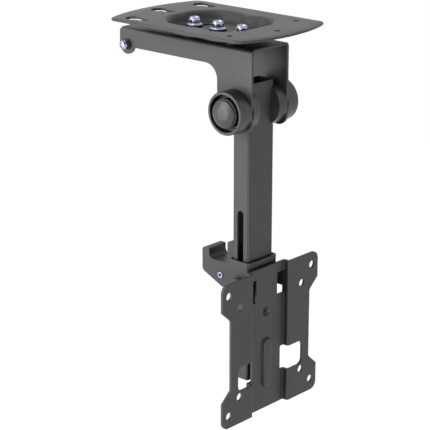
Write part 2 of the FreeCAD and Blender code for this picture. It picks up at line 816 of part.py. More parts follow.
def hinge_dishes(name, growth):
    """The dishes pressed into both sides of the mast round the hinge, grown by part of a sheet."""
    foot_growth = growth * 0.83
    beyond = mast_half_width + cell("mast_wall")
    floor = hinge_dish_floor - growth
    mouth_radius = cell("hinge_dish_mouth_wide") / 2 + growth
    half_section = [(floor, 0), (floor, cell("hinge_dish_floor_wide") / 2),
                    (hinge_dish_foot - foot_growth, cell("hinge_dish_foot_wide") / 2 + foot_growth),
                    (mast_half_width, mouth_radius), (beyond, mouth_radius), (beyond, 0)]
    dishes = []
    for side, word in ((-1, "left"), (1, "right")):
        corners = [(corner[0] * side, corner[1]) for corner in half_section]
        dishes.append(turned_along_x(f"{name}_{word}", corners, 0, hinge_y, hinge_z))
    return fuse(*dishes)


def mast_section(body, inset, rounding):
    """The mast's rounded section at its upper end."""
    half_width = mast_half_width - inset
    half_depth = mast_half_depth - inset
    section = new_sketch(body, offset=cell("mast_above_hinge"))
    return rectangle(section, -half_width, -half_depth, half_width, half_depth, rounding)


def make_mast():
    """A tube with guide slots, dished round the hinge; the sheet stays equally thick in the dishes."""
    wall = cell("mast_wall")
    length = cell("mast_above_hinge") + cell("mast_below_hinge")
    outside = new_body("mast_outside")
    pad(outside, mast_section(outside, zero, cell("mast_round")), length, backwards=True)
    slot_half = cell("mast_slot_width") / 2
    slot_bottom = -(cell("guide_pin_drop") + slot_half)
    slot = new_sketch(outside, "YZ_Plane")
    rectangle(slot, -slot_half, slot_bottom, slot_half, -cell("mast_slot_top"), slot_half * full_round_share)
    cut_through(outside, slot)
    bush_outer = cell("hinge_bolt") / 2 + cell("hinge_bolt_fit") + cell("bush_wall")
    cut_through(outside, circle(new_sketch(outside, "YZ_Plane"), 0, 0, bush_outer))
    place(outside, 0, hinge_y, hinge_z)
    inside = new_body("mast_inside")
    pad(inside, mast_section(inside, wall, cell("mast_round") / 2), length, backwards=True)
    place(inside, 0, hinge_y, hinge_z)
    dished_outside = cut(outside, hinge_dishes("outer_dish", zero))
    dished_inside = cut(inside, hinge_dishes("inner_dish", wall))
    piece(cut(dished_outside, dished_inside), "mast_tube")
    bush_length = hinge_dish_floor * 2
    bush = cylinder_along_x(bush_outer, bush_length, -hinge_dish_floor, hinge_y, hinge_z)
    bore = cylinder_along_x(cell("hinge_bolt") / 2 + cell("hinge_bolt_fit"), bush_length,
                            -hinge_dish_floor, hinge_y, hinge_z)
    piece(cut(bush, bore), "hinge_bush")
    plug = new_body("mast_plug")
    lip_sketch = new_sketch(plug, offset=-cell("mast_below_hinge"))
    rectangle(lip_sketch, -mast_half_width, -mast_half_depth, mast_half_width, mast_half_depth,
              cell("mast_round"))
    pad(plug, lip_sketch, cell("mast_plug_lip"), backwards=True)
    inset = wall + cell("mast_plug_fit")
    stem_sketch = new_sketch(plug, offset=-cell("mast_below_hinge"))
    rectangle(stem_sketch, inset - mast_half_width, inset - mast_half_depth, mast_half_width - inset,
              mast_half_depth - inset, cell("mast_round") / 2)
    pad(plug, stem_sketch, cell("mast_plug_deep"))
    place(plug, 0, hinge_y, hinge_z)
    piece(plug, "mast_plug")


def make_slider_sleeve():
    body = new_body("slider_sleeve")
    wall = cell("slider_wall")
    section = new_sketch(body, offset=-cell("slider_top"))
    rectangle(section, -slider_half_width, -slider_front, slider_half_width, slider_rear,
              cell("slider_round"))
    rectangle(section, wall - slider_half_width, wall - slider_front, slider_half_width - wall,
              slider_rear - wall, cell("slider_round") / 2)
    pad(body, section, cell("slider_length"), backwards=True)
    side_holes = new_sketch(body, "YZ_Plane")
    circle(side_holes, 0, -cell("guide_pin_drop"), cell("guide_pin") / 2)
    circle(side_holes, -cell("ear_rivet_forward"), -cell("ear_rivet_drop"), cell("ear_rivet") / 2)
    cut_through(body, side_holes)
    front_hole = circle(new_sketch(body, "XZ_Plane"), 0,
                        -(cell("screen_hole_drop") + cell("centre_screw_drop")), cell("centre_screw") / 2)
    cut_deep(body, front_hole, slider_front * 2, backwards=True)
    place(body, 0, hinge_y, hinge_z)
    piece(body, "slider_sleeve")


def make_catch_hook():
    """A hook block whose mouth opens towards the hinge, riveted through the middle."""
    body = new_body("catch_hook")
    back = slider_rear
    root = back + cell("hook_root_thick")
    reach = cell("hook_reach")
    tip_inner = reach - cell("hook_tip_thick")
    slot_bottom = -cell("hook_slot_bottom")
    profile = new_sketch(body, "YZ_Plane")
    outline(profile, [
        (back, -cell("hook_bottom")), (cell("hook_foot_reach"), -cell("hook_bottom"), cell("hook_foot_round")),
        (reach, -cell("hook_outer_bottom"), cell("hook_outer_round")),
        (reach, -cell("hook_tip_top"), cell("hook_tip_outer_round")),
        (tip_inner, -cell("hook_tip_top"), cell("hook_tip_inner_round")),
        (tip_inner, slot_bottom, cell("hook_slot_round")), (root, slot_bottom, cell("hook_root_round")),
        (root, -cell("hook_root_top"), cell("hook_top_round")), (back, -cell("hook_root_top"))])
    pad(body, profile, cell("hook_width"), both_ways=True)
    bore = circle(new_sketch(body, "YZ_Plane"), cell("hook_rivet_reach"), -cell("hook_rivet_drop"),
                  cell("hook_rivet_wide") / 2)
    cut_through(body, bore)
    place(body, 0, hinge_y, hinge_z)
    piece(body, "catch_hook")
    length = cell("hook_width") + cell("hook_rivet_proud") * 2
    y = hinge_y + cell("hook_rivet_reach")
    z = hinge_z - cell("hook_rivet_drop")
    start = -(length / 2)
    rivet = cylinder_along_x(cell("hook_rivet_wide") / 2, length, start, y, z)
    piece(cut(rivet, cylinder_along_x(cell("hook_rivet_bore") / 2, length, start, y, z)), "hook_rivet")


def make_guide():
    gap = cell("guide_block_gap")
    half_width = mast_half_width - cell("mast_wall") - gap
    half_depth = mast_half_depth - cell("mast_wall") - gap
    body = new_body("guide_block")
    top = cell("guide_block_tall") / 2 - cell("guide_pin_drop")
    section = rectangle(new_sketch(body, offset=top), -half_width, -half_depth, half_width, half_depth,
                        cell("mast_round") / 2)
    pad(body, section, cell("guide_block_tall"), backwards=True)
    cut_through(body, circle(new_sketch(body, "YZ_Plane"), 0, -cell("guide_pin_drop"), cell("guide_pin") / 2))
    place(body, 0, hinge_y, hinge_z)
    piece(body, "guide_block")
    pin = cylinder_along_x(cell("guide_pin") / 2, slider_half_width * 2, -slider_half_width, hinge_y,
                           hinge_z - cell("guide_pin_drop"))
    piece(pin, "guide_pin")


def rib_outline(body, y, inset):
    """The stiffening rib's outline in the plane at y, moved inwards by the inset."""
    half = cell("rib_width") / 2 - inset
    top = -(cell("screen_hole_drop") + cell("rib_drop")) - inset
    bottom = top - cell("rib_length") + inset * 2
    return rectangle(new_sketch(body, "XZ_Plane", offset=-y), -half, bottom, half, top, half * full_round_share)


def make_screen_plate():
    """A sheet with a joggled middle, two ears bent back beside the sleeve and lobed corners."""
    body = new_body("screen_plate")
    sheet_thick = cell("screen_sheet")
    floor_back = -(slider_front + cell("screen_stand_off"))
    floor_front = floor_back - sheet_thick
    wing_front = floor_front - cell("screen_recess")
    wing_back = wing_front + sheet_thick
    half = cell("screen_hole_pitch") / 2 + cell("screen_side_past_holes")
    inner = cell("screen_recess_half")
    outer = inner + sheet_thick
    bend = cell("screen_bend")
    tight = bend / 4
    past = cell("screen_edge_past_holes")
    top = -(cell("screen_hole_drop") - past)
    bottom = -(cell("screen_hole_drop") + cell("screen_hole_pitch") + past)
    section = new_sketch(body, offset=top)
    outline(section, [
        (-half, wing_front), (-inner, wing_front, bend), (-inner, floor_front, tight),
        (inner, floor_front, tight), (inner, wing_front, bend), (half, wing_front),
        (half, wing_back), (outer, wing_back, tight), (outer, floor_back, bend),
        (-outer, floor_back, bend), (-outer, wing_back, tight), (-half, wing_back)])
    pad(body, section, top - bottom, backwards=True)
    waist = cell("screen_hole_pitch") / 2 - cell("screen_waist_inside_holes")
    lobe = cell("screen_lobe_tall") + past
    slant = lobe + cell("screen_slant_tall")
    rounding = cell("screen_lobe_round")
    waist_round = rounding / 2
    beyond = half + past
    for side in (-1, 1):
        notch = new_sketch(body, "XZ_Plane")
        outline(notch, [(beyond * side, top - lobe), (half * side, top - lobe, waist_round),
                        (waist * side, top - slant, waist_round),
                        (waist * side, bottom + slant, waist_round),
                        (half * side, bottom + lobe, waist_round), (beyond * side, bottom + lobe)])
        cut_through(body, notch)
    corner_x = half.value
    round_edges(body, rounding,
                lambda edge, middle: abs(abs(middle.x) - corner_x) < 0.01 and edge.BoundBox.YLength > 1
                and (abs(middle.z - top.value) < 0.01 or abs(middle.z - bottom.value) < 0.01))
    holes = new_sketch(body, "XZ_Plane")
    pattern_middle = -(cell("screen_hole_drop") + cell("screen_hole_pitch") / 2)
    for pitch in (cell("screen_hole_pitch"), cell("inner_hole_pitch")):
        for side in (-1, 1):
            for row in (-1, 1):
                circle(holes, pitch * side / 2, pattern_middle + pitch * row / 2, cell("screen_hole") / 2)
    cut_through(body, holes)
    window_top = -cell("upper_window_top")
    window_bottom = window_top - cell("upper_window_tall")
    lower_top = -(cell("screen_hole_drop") + cell("lower_window_drop"))
    lower_bottom = lower_top - cell("lower_window_tall")
    for side in (-1, 1):
        near = cell("upper_window_inner") * side
        far = inner * side
        windows = new_sketch(body, "XZ_Plane")
        small = cell("window_inner_round")
        outline(windows, [(near, window_bottom, small), (far, window_bottom), (far, window_top),
                          (near, window_top, small)])
        outline(windows, [(cell("lower_window_inner") * side, lower_bottom, small),
                          (cell("lower_window_outer") * side, lower_bottom, cell("lower_window_round")),
                          (cell("lower_window_outer") * side, lower_top, cell("lower_window_round")),
                          (cell("lower_window_inner") * side, lower_top, small)])
        cut_through(body, windows)
    ear_rear = floor_back + cell("ear_depth")
    ear_top = -cell("ear_top")
    ear_bottom = ear_top - cell("ear_tall")
    for side in (-1, 1):
        start = inner if side > 0 else -outer
        ear = new_sketch(body, "YZ_Plane", offset=start)
        outline(ear, [(floor_front, ear_bottom), (ear_rear, ear_bottom, cell("ear_round")),
                      (ear_rear, ear_top, cell("ear_round")), (floor_front, ear_top)])
        pad(body, ear, sheet_thick)
    rivet_holes = circle(new_sketch(body, "YZ_Plane"), -cell("ear_rivet_forward"), -cell("ear_rivet_drop"),
                         cell("ear_rivet") / 2)
    cut_through(body, rivet_holes)
    loft(body, "PartDesign::AdditiveLoft", rib_outline(body, floor_front, zero),
         rib_outline(body, floor_front - cell("rib_rise"), cell("rib_flank")))
    inset = cell("rib_flank")
    loft(body, "PartDesign::SubtractiveLoft", rib_outline(body, floor_back, inset),
         rib_outline(body, floor_back - cell("rib_rise"), inset * 2))
    screw_z = -(cell("screen_hole_drop") + cell("centre_screw_drop"))
    mouth = cell("centre_dimple_mouth") / 2
    floor = cell("centre_dimple_floor") / 2
    loft(body, "PartDesign::AdditiveLoft",
         circle(new_sketch(body, "XZ_Plane", offset=-floor_back), 0, screw_z, mouth + sheet_thick / 2),
         circle(new_sketch(body, "XZ_Plane", offset=slider_front), 0, screw_z, floor + sheet_thick / 2))
    loft(body, "PartDesign::SubtractiveLoft",
         circle(new_sketch(body, "XZ_Plane", offset=-floor_front), 0, screw_z, mouth),
         circle(new_sketch(body, "XZ_Plane", offset=slider_front + sheet_thick), 0, screw_z, floor))
    cut_through(body, circle(new_sketch(body, "XZ_Plane"), 0, screw_z, cell("centre_screw") / 2))
    place(body, 0, hinge_y, hinge_z)
    piece(body, "screen_plate")


def make_screen_plate_fasteners():
    y = hinge_y - cell("ear_rivet_forward")
    z = hinge_z - cell("ear_rivet_drop")
    ear_inner = cell("screen_recess_half")
    ear_outer = ear_inner + cell("screen_sheet")
    shank_inner = slider_half_width - cell("slider_wall")
    radius = cell("ear_rivet") / 2
    rivets = []
    spacers = []
    for side in (-1, 1):
        shank_start = shank_inner if side > 0 else -ear_outer
        head_start = ear_outer if side > 0 else -(ear_outer + cell("ear_rivet_head_tall"))
        spacer_start = slider_half_width if side > 0 else -ear_inner
        shank = cylinder_along_x(radius, ear_outer - shank_inner, shank_start, y, z)
        head = cylinder_along_x(cell("ear_rivet_head_wide") / 2, cell("ear_rivet_head_tall"), head_start, y, z)
        rivets.append(fuse(shank, head))
        spacer = cylinder_along_x(cell("ear_spacer_wide") / 2, ear_inner - slider_half_width, spacer_start, y, z)
        hole = cylinder_along_x(radius, ear_inner - slider_half_width, spacer_start, y, z)
        spacers.append(cut(spacer, hole))
    piece(group(rivets), "ear_rivets")
    piece(group(spacers), "ear_spacers")
    screw = new_body("centre_screw")
    screw_z = -(cell("screen_hole_drop") + cell("centre_screw_drop"))
    front = -(slider_front + cell("screen_sheet") + cell("centre_screw_proud"))
    length = cell("centre_screw_proud") + cell("screen_sheet") + cell("slider_wall")
    shank = circle(new_sketch(screw, "XZ_Plane", offset=-front), 0, screw_z, cell("centre_screw") / 2)
    pad(screw, shank, length, backwards=True)
    socket = circle(new_sketch(screw, "XZ_Plane", offset=-front), 0, screw_z, cell("centre_screw_socket") / 2)
    cut_deep(screw, socket, length / 2)
    place(screw, 0, hinge_y, hinge_z)
    piece(screw, "centre_screw")


def check_and_write():
    """Stop on any failed object, then write one file for each piece."""
    document.recompute()
    for item in document.Objects:
        if "Invalid" in item.State or "Error" in item.State:
            raise RuntimeError(f"{item.Name} failed: {item.State}")
    for item in pieces:
        if item.Shape.isNull() or not item.Shape.isValid():
            raise RuntimeError(f"{item.Label} has no valid shape")
    os.makedirs("parts", exist_ok=True)
    for item in pieces:
        item.Shape.exportStep(f"parts/{item.Label}.step")
        box = item.Shape.BoundBox
        print(f"{item.Label}: {len(item.Shape.Solids)} solids, {item.Shape.Volume:.0f} cubic mm, "
              f"{box.XLength:.1f} x {box.YLength:.1f} x {box.ZLength:.1f} mm")


make_ceiling_plate()
make_swivel()
make_arm_channel()
make_catch_bolt()
make_hinge()
make_mast()
make_slider_sleeve()
make_catch_hook()
make_guide()
make_screen_plate()
make_screen_plate_fasteners()
check_and_write()
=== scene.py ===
import bmesh
import bpy
import math
from mathutils import Matrix, Vector


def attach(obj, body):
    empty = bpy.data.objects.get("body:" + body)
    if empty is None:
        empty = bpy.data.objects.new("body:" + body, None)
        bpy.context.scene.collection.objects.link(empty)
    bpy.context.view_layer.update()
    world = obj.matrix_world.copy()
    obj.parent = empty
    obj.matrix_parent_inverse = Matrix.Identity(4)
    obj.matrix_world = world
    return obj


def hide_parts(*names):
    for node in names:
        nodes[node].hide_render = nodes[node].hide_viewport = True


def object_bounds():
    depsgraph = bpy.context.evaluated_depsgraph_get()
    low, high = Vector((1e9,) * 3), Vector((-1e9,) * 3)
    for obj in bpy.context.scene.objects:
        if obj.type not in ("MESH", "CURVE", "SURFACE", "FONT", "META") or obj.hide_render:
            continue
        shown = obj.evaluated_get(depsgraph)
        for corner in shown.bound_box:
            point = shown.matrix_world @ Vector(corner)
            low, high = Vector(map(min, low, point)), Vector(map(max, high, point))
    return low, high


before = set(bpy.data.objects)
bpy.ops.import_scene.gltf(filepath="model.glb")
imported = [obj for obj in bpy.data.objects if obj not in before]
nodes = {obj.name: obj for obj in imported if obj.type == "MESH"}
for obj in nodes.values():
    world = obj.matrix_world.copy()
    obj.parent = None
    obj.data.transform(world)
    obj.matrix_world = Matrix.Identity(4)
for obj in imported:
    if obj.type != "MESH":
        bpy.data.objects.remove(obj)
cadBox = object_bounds()
print("frame loaded:", len(nodes), "nodes")

scene = bpy.context.scene
scene.view_settings.view_transform = "Standard"

# camera: stands left of the front and a little above the mount, as in the photograph
cameraView = {
    "place": (-0.919098, -0.831485, 0.247806),
    "yaw": 47.761,      # degrees from +Y towards +X
    "pitch": 18.119,    # degrees down
    "lens": 136.632,
    "sensor": 36.0,
}


def makeCamera(view):
    data = bpy.data.cameras.new("photoCamera")
    data.lens = view["lens"]
    data.sensor_width = view["sensor"]
    data.clip_start = 0.05
    data.clip_end = 60
    camera = bpy.data.objects.new("photoCamera", data)
    scene.collection.objects.link(camera)
    yaw, pitch = math.radians(view["yaw"]), math.radians(view["pitch"])
    forward = Vector((math.sin(yaw) * math.cos(pitch), math.cos(yaw) * math.cos(pitch), -math.sin(pitch)))
    camera.location = view["place"]
    camera.rotation_euler = forward.to_track_quat("-Z", "Y").to_euler()
    scene.camera = camera


makeCamera(cameraView)
print("camera ready")

# soft studio light: a wide box on the left, a little behind, one overhead and a weak front fill
studio = {
    "leftBox": {"place": (-1.5, 0.75, 0.1), "aim": (0, 0, -0.12), "size": (1.0, 1.6), "power": 27.5},
    "topBox": {"place": (-0.5, 0.35, 1.4), "aim": (0, 0, -0.05), "size": (0.9, 0.9), "power": 5.5},
    "frontBox": {"place": (-1.1, -1.75, -0.35), "aim": (0, 0, -0.15), "size": (0.8, 1.0), "power": 17.5},
    "worldLight": 0.06,
    "floorDrop": 1.1,       # floor under the lowest point of the part
    "floorHalf": 14.0,      # half the floor's side
    "floorColour": (0.62, 0.62, 0.62, 1),
    "floorLift": 0.97,
}


def makeLight(name, spec):
    data = bpy.data.lights.new(name, "AREA")
    data.shape = "RECTANGLE"
    data.size, data.size_y = spec["size"]
    data.energy = spec["power"]
    lamp = bpy.data.objects.new(name, data)
    scene.collection.objects.link(lamp)
    lamp.location = spec["place"]
    direction = Vector(spec["aim"]) - Vector(spec["place"])
    lamp.rotation_euler = direction.to_track_quat("-Z", "Y").to_euler()


def seenShare(tree):
    # 1 for what the camera, a reflection or a clear material sees, 0 for the light itself
    path = tree.nodes.new("ShaderNodeLightPath")
    either = tree.nodes.new("ShaderNodeMath")
    either.operation = "MAXIMUM"
    both = tree.nodes.new("ShaderNodeMath")
    both.operation = "MAXIMUM"
    tree.links.new(path.outputs["Is Camera Ray"], either.inputs[0])
    tree.links.new(path.outputs["Is Glossy Ray"], either.inputs[1])
    tree.links.new(either.outputs[0], both.inputs[0])
    tree.links.new(path.outputs["Is Transmission Ray"], both.inputs[1])
    return both.outputs[0]


def makeWorld(strength):
    world = bpy.data.worlds.new("studioWorld")
    scene.world = world
    world.use_nodes = True
    tree = world.node_tree
    tree.nodes.clear()
    out = tree.nodes.new("ShaderNodeOutputWorld")
    seen = tree.nodes.new("ShaderNodeBackground")
    seen.inputs["Color"].default_value = (1, 1, 1, 1)
    seen.inputs["Strength"].default_value = 1.0
    soft = tree.nodes.new("ShaderNodeBackground")
    soft.inputs["Color"].default_value = (1, 1, 1, 1)
    soft.inputs["Strength"].default_value = strength
    mix = tree.nodes.new("ShaderNodeMixShader")
    tree.links.new(seenShare(tree), mix.inputs[0])
    tree.links.new(soft.outputs[0], mix.inputs[1])
    tree.links.new(seen.outputs[0], mix.inputs[2])
    tree.links.new(mix.outputs[0], out.inputs[0])


def makeFloor(spec):
    half = spec["floorHalf"]
    height = cadBox[0].z - spec["floorDrop"]
    mesh = bpy.data.meshes.new("studioFloor")
    corners = [(-half, -half, height), (half, -half, height), (half, half, height), (-half, half, height)]
    mesh.from_pydata(corners, [], [(0, 1, 2, 3)])
    floor = bpy.data.objects.new("studioFloor", mesh)
    scene.collection.objects.link(floor)
    material = bpy.data.materials.new("paleFloor")
    material.use_nodes = True
    tree = material.node_tree
    tree.nodes.clear()
    out = tree.nodes.new("ShaderNodeOutputMaterial")
    matt = tree.nodes.new("ShaderNodeBsdfDiffuse")
    matt.inputs["Color"].default_value = spec["floorColour"]
    glow = tree.nodes.new("ShaderNodeEmission")
    lift = tree.nodes.new("ShaderNodeMath")
    lift.operation = "MULTIPLY"
    lift.inputs[1].default_value = spec["floorLift"]
    added = tree.nodes.new("ShaderNodeAddShader")
    tree.links.new(seenShare(tree), lift.inputs[0])
    tree.links.new(lift.outputs[0], glow.inputs["Strength"])
    tree.links.new(matt.outputs[0], added.inputs[0])
    tree.links.new(glow.outputs[0], added.inputs[1])
    tree.links.new(added.outputs[0], out.inputs[0])
    mesh.materials.append(material)


for lampName in ("leftBox", "topBox", "frontBox"):
    makeLight(lampName, studio[lampName])
makeWorld(studio["worldLight"])
makeFloor(studio)
print("studio ready")

# finishes: each has its own grain, tone changes, painted shade in the inner corners and a painted highlight that
# makes the edges a little lighter
# corner is how far the painted shade darkens the inner corners, 1 for none
finishes = {
    "powderCoat": {"colour": (0.066, 0.066, 0.068), "edgeHighlightColour": (0.19, 0.19, 0.195), "rough": 0.43, "metal": 0.0,
                   "grainScale": 1500, "grainDepth": 0.00004, "speck": 0.16, "cloudScale": 30, "edge": 0.0007,
                   "edgeHighlightShare": 0.55, "sheen": 0.38, "streak": 0.05, "corner": 0.12},
    "blackPlastic": {"colour": (0.052, 0.052, 0.054), "edgeHighlightColour": (0.13, 0.13, 0.135), "rough": 0.36,
                     "metal": 0.0, "grainScale": 2600, "grainDepth": 0.000015, "speck": 0.08, "cloudScale": 60,
                     "edge": 0.0005, "edgeHighlightShare": 0.45, "sheen": 0.5, "streak": 0.02, "corner": 0.22},
    "blackNylon": {"colour": (0.014, 0.014, 0.014), "edgeHighlightColour": (0.04, 0.04, 0.04), "rough": 0.55, "metal": 0.0,
                   "grainScale": 1900, "grainDepth": 0.00002, "speck": 0.10, "cloudScale": 80, "edge": 0.0003,
                   "edgeHighlightShare": 0.3, "sheen": 0.3, "streak": 0.02, "corner": 1.0},
    "blackZinc": {"colour": (0.022, 0.022, 0.024), "edgeHighlightColour": (0.12, 0.12, 0.13), "rough": 0.38, "metal": 0.55,
                  "grainScale": 2400, "grainDepth": 0.00001, "speck": 0.12, "cloudScale": 120, "edge": 0.0003,
                  "edgeHighlightShare": 0.5, "sheen": 0.5, "streak": 0.02, "corner": 1.0},
    "brightZinc": {"colour": (0.36, 0.38, 0.47), "edgeHighlightColour": (0.72, 0.74, 0.80), "rough": 0.22, "metal": 1.0,
                   "grainScale": 2200, "grainDepth": 0.000004, "speck": 0.10, "cloudScale": 150, "edge": 0.00025,
                   "edgeHighlightShare": 0.6, "sheen": 0.5, "streak": 0.02, "corner": 1.0},
}

# what all the finishes share
coat = {
    "grainDetail": 3, "cloudDetail": 4, "cloudSwing": 0.10, "streakScale": 620, "streakDetail": 2,
    "streakStretch": 0.05, "noiseRange": (0.3, 0.7), "paintedShadeReach": 0.03, "paintedShadeSamples": 8, "paintedShadeRange": (0.3, 0.95),
    "edgeSamples": 8, "edgeHighlightRange": (0.99, 0.78), "unevenRange": (0.35, 1.45), "roughDown": 0.06, "roughUp": 0.08,
    "bumpStrength": 0.4,
}


def linkAll(tree, pairs):
    for first, second in pairs:
        tree.links.new(first, second)


def mapRange(tree, fromValues=(0, 1), toValues=(0, 1)):
    node = tree.nodes.new("ShaderNodeMapRange")
    node.inputs["From Min"].default_value, node.inputs["From Max"].default_value = fromValues
    node.inputs["To Min"].default_value, node.inputs["To Max"].default_value = toValues
    return node


def mathNode(tree, kind, operation):
    node = tree.nodes.new(kind)
    node.operation = operation
    return node


def noiseNode(tree, scale, detail):
    node = tree.nodes.new("ShaderNodeTexNoise")
    node.inputs["Scale"].default_value = scale
    node.inputs["Detail"].default_value = detail
    return node


def makeFinish(name, spec):
    material = bpy.data.materials.new(name)
    material.use_nodes = True
    tree = material.node_tree
    tree.nodes.clear()
    out = tree.nodes.new("ShaderNodeOutputMaterial")
    shader = tree.nodes.new("ShaderNodeBsdfPrincipled")
    shader.inputs["Metallic"].default_value = spec["metal"]
    shader.inputs["Specular IOR Level"].default_value = spec["sheen"]
    place = tree.nodes.new("ShaderNodeTexCoord")
    grain = noiseNode(tree, spec["grainScale"], coat["grainDetail"])
    cloud = noiseNode(tree, spec["cloudScale"], coat["cloudDetail"])
    # faint upright streaks left by the spray
    stretch = tree.nodes.new("ShaderNodeMapping")
    stretch.inputs["Scale"].default_value = (1, 1, coat["streakStretch"])
    streak = noiseNode(tree, coat["streakScale"], coat["streakDetail"])
    streakRange = mapRange(tree, coat["noiseRange"], (1 - spec["streak"], 1 + spec["streak"]))
    bothShades = mathNode(tree, "ShaderNodeMath", "MULTIPLY")
    # painted shade: the coat's colour is darkened in the inner corners, where little light gets in
    paintedShade = tree.nodes.new("ShaderNodeAmbientOcclusion")
    paintedShade.samples = coat["paintedShadeSamples"]
    paintedShade.inputs["Distance"].default_value = coat["paintedShadeReach"]
    paintedShadeRange = mapRange(tree, coat["paintedShadeRange"], (spec["corner"], 1))
    specksStreaksAndPaintedShade = mathNode(tree, "ShaderNodeMath", "MULTIPLY")
    # colour: slow clouds first, then fine specks and streaks with the painted shade in the inner corners, then the
    # painted highlight on the edges
    clouded = tree.nodes.new("ShaderNodeMix")
    clouded.data_type = "RGBA"
    clouded.inputs[6].default_value = [c * (1 - coat["cloudSwing"]) for c in spec["colour"]] + [1]
    clouded.inputs[7].default_value = [c * (1 + coat["cloudSwing"]) for c in spec["colour"]] + [1]
    speck = mapRange(tree, coat["noiseRange"], (1 - spec["speck"], 1 + spec["speck"]))
    speckledAndPaintedShade = mathNode(tree, "ShaderNodeVectorMath", "SCALE")
    # painted highlight: the edges are painted lighter, towards the finish's lighter edge colour, where the rounded
    # normal turns away from the plain one, more on some stretches than on others
    corner = tree.nodes.new("ShaderNodeBevel")
    corner.samples = coat["edgeSamples"]
    corner.inputs["Radius"].default_value = spec["edge"]
    surface = tree.nodes.new("ShaderNodeNewGeometry")
    bend = mathNode(tree, "ShaderNodeVectorMath", "DOT_PRODUCT")
    edgeHighlight = mapRange(tree, coat["edgeHighlightRange"], (0, spec["edgeHighlightShare"]))
    uneven = mathNode(tree, "ShaderNodeMath", "MULTIPLY")
    uneven.use_clamp = True
    unevenRange = mapRange(tree, (0, 1), coat["unevenRange"])
    edgeHighlighted = tree.nodes.new("ShaderNodeMix")
    edgeHighlighted.data_type = "RGBA"
    edgeHighlighted.inputs[7].default_value = list(spec["edgeHighlightColour"]) + [1]
    gloss = mapRange(tree, (0, 1), (spec["rough"] - coat["roughDown"], spec["rough"] + coat["roughUp"]))
    bump = tree.nodes.new("ShaderNodeBump")
    bump.inputs["Strength"].default_value = coat["bumpStrength"]
    bump.inputs["Distance"].default_value = spec["grainDepth"]
    linkAll(tree, (
        (place.outputs["Object"], grain.inputs["Vector"]),
        (place.outputs["Object"], cloud.inputs["Vector"]),
        (cloud.outputs["Fac"], clouded.inputs[0]),
        (grain.outputs["Fac"], speck.inputs["Value"]),
        (clouded.outputs[2], speckledAndPaintedShade.inputs[0]),
        (place.outputs["Object"], stretch.inputs["Vector"]),
        (stretch.outputs["Vector"], streak.inputs["Vector"]),
        (streak.outputs["Fac"], streakRange.inputs["Value"]),
        (streakRange.outputs["Result"], bothShades.inputs[0]),
        (speck.outputs["Result"], bothShades.inputs[1]),
        (paintedShade.outputs["AO"], paintedShadeRange.inputs["Value"]),
        (bothShades.outputs[0], specksStreaksAndPaintedShade.inputs[0]),
        (paintedShadeRange.outputs["Result"], specksStreaksAndPaintedShade.inputs[1]),
        (specksStreaksAndPaintedShade.outputs[0], speckledAndPaintedShade.inputs["Scale"]),
        (corner.outputs[0], bend.inputs[0]),
        (surface.outputs["Normal"], bend.inputs[1]),
        (bend.outputs["Value"], edgeHighlight.inputs["Value"]),
        (cloud.outputs["Fac"], unevenRange.inputs["Value"]),
        (edgeHighlight.outputs["Result"], uneven.inputs[0]),
        (unevenRange.outputs["Result"], uneven.inputs[1]),
        (uneven.outputs[0], edgeHighlighted.inputs[0]),
        (speckledAndPaintedShade.outputs["Vector"], edgeHighlighted.inputs[6]),
        (edgeHighlighted.outputs[2], shader.inputs["Base Color"]),
        (cloud.outputs["Fac"], gloss.inputs["Value"]),
        (gloss.outputs["Result"], shader.inputs["Roughness"]),
        (grain.outputs["Fac"], bump.inputs["Height"]),
        (corner.outputs[0], bump.inputs["Normal"]),
        (bump.outputs[0], shader.inputs["Normal"]),
        (shader.outputs[0], out.inputs[0]),
    ))
    return material


made = {finishName: makeFinish(finishName, spec) for finishName, spec in finishes.items()}

nodeFinish = {
    "powderCoat": ("mast_tube", "slider_sleeve", "catch_hook", "screen_plate"),
    "blackPlastic": ("mast_plug", "hinge_spacer_left", "hinge_spacer_right"),
    "blackNylon": ("swivel_disc", "guide_block", "ear_spacers"),
    "blackZinc": ("swivel_washers", "catch_bolt_washers", "hinge_bolt", "hinge_nut", "hinge_washers", "hinge_bush",
                  "guide_pin", "centre_screw", "swivel_pivot_bolt", "swivel_guide_bolts"),
    "brightZinc": ("catch_bolt", "hook_rivet", "ear_rivets"),
}
for finishName, nodeNames in nodeFinish.items():
    for nodeName in nodeNames:
        shown = nodes[nodeName]
        shown.data.materials.clear()
        shown.data.materials.append(made[finishName])
print("finishes set on the frame's own nodes")

mm = 0.001


def roundedPath(corners, closed=True, steps=7):
    # corners are (x, y) or (x, y, radius), and the rounded ones become short arcs
    path = []
    count = len(corners)
    for index, corner in enumerate(corners):
        here = Vector(corner[:2])
        radius = corner[2] if len(corner) > 2 else 0
        if radius == 0 or (not closed and index in (0, count - 1)):
            path.append(here)
            continue
        before = (Vector(corners[index - 1][:2]) - here).normalized()
        after = (Vector(corners[(index + 1) % count][:2]) - here).normalized()
        half = before.angle(after) / 2
        start = here + before * (radius / math.tan(half))
        finish = here + after * (radius / math.tan(half))
        centre = here + (before + after).normalized() * (radius / math.sin(half))
        first = start - centre
        sweep = first.angle_signed(finish - centre)
        for step in range(steps + 1):
            turn = -sweep * step / steps
            path.append(centre + Vector((first.x * math.cos(turn) - first.y * math.sin(turn),
                                         first.x * math.sin(turn) + first.y * math.cos(turn))))
    return path


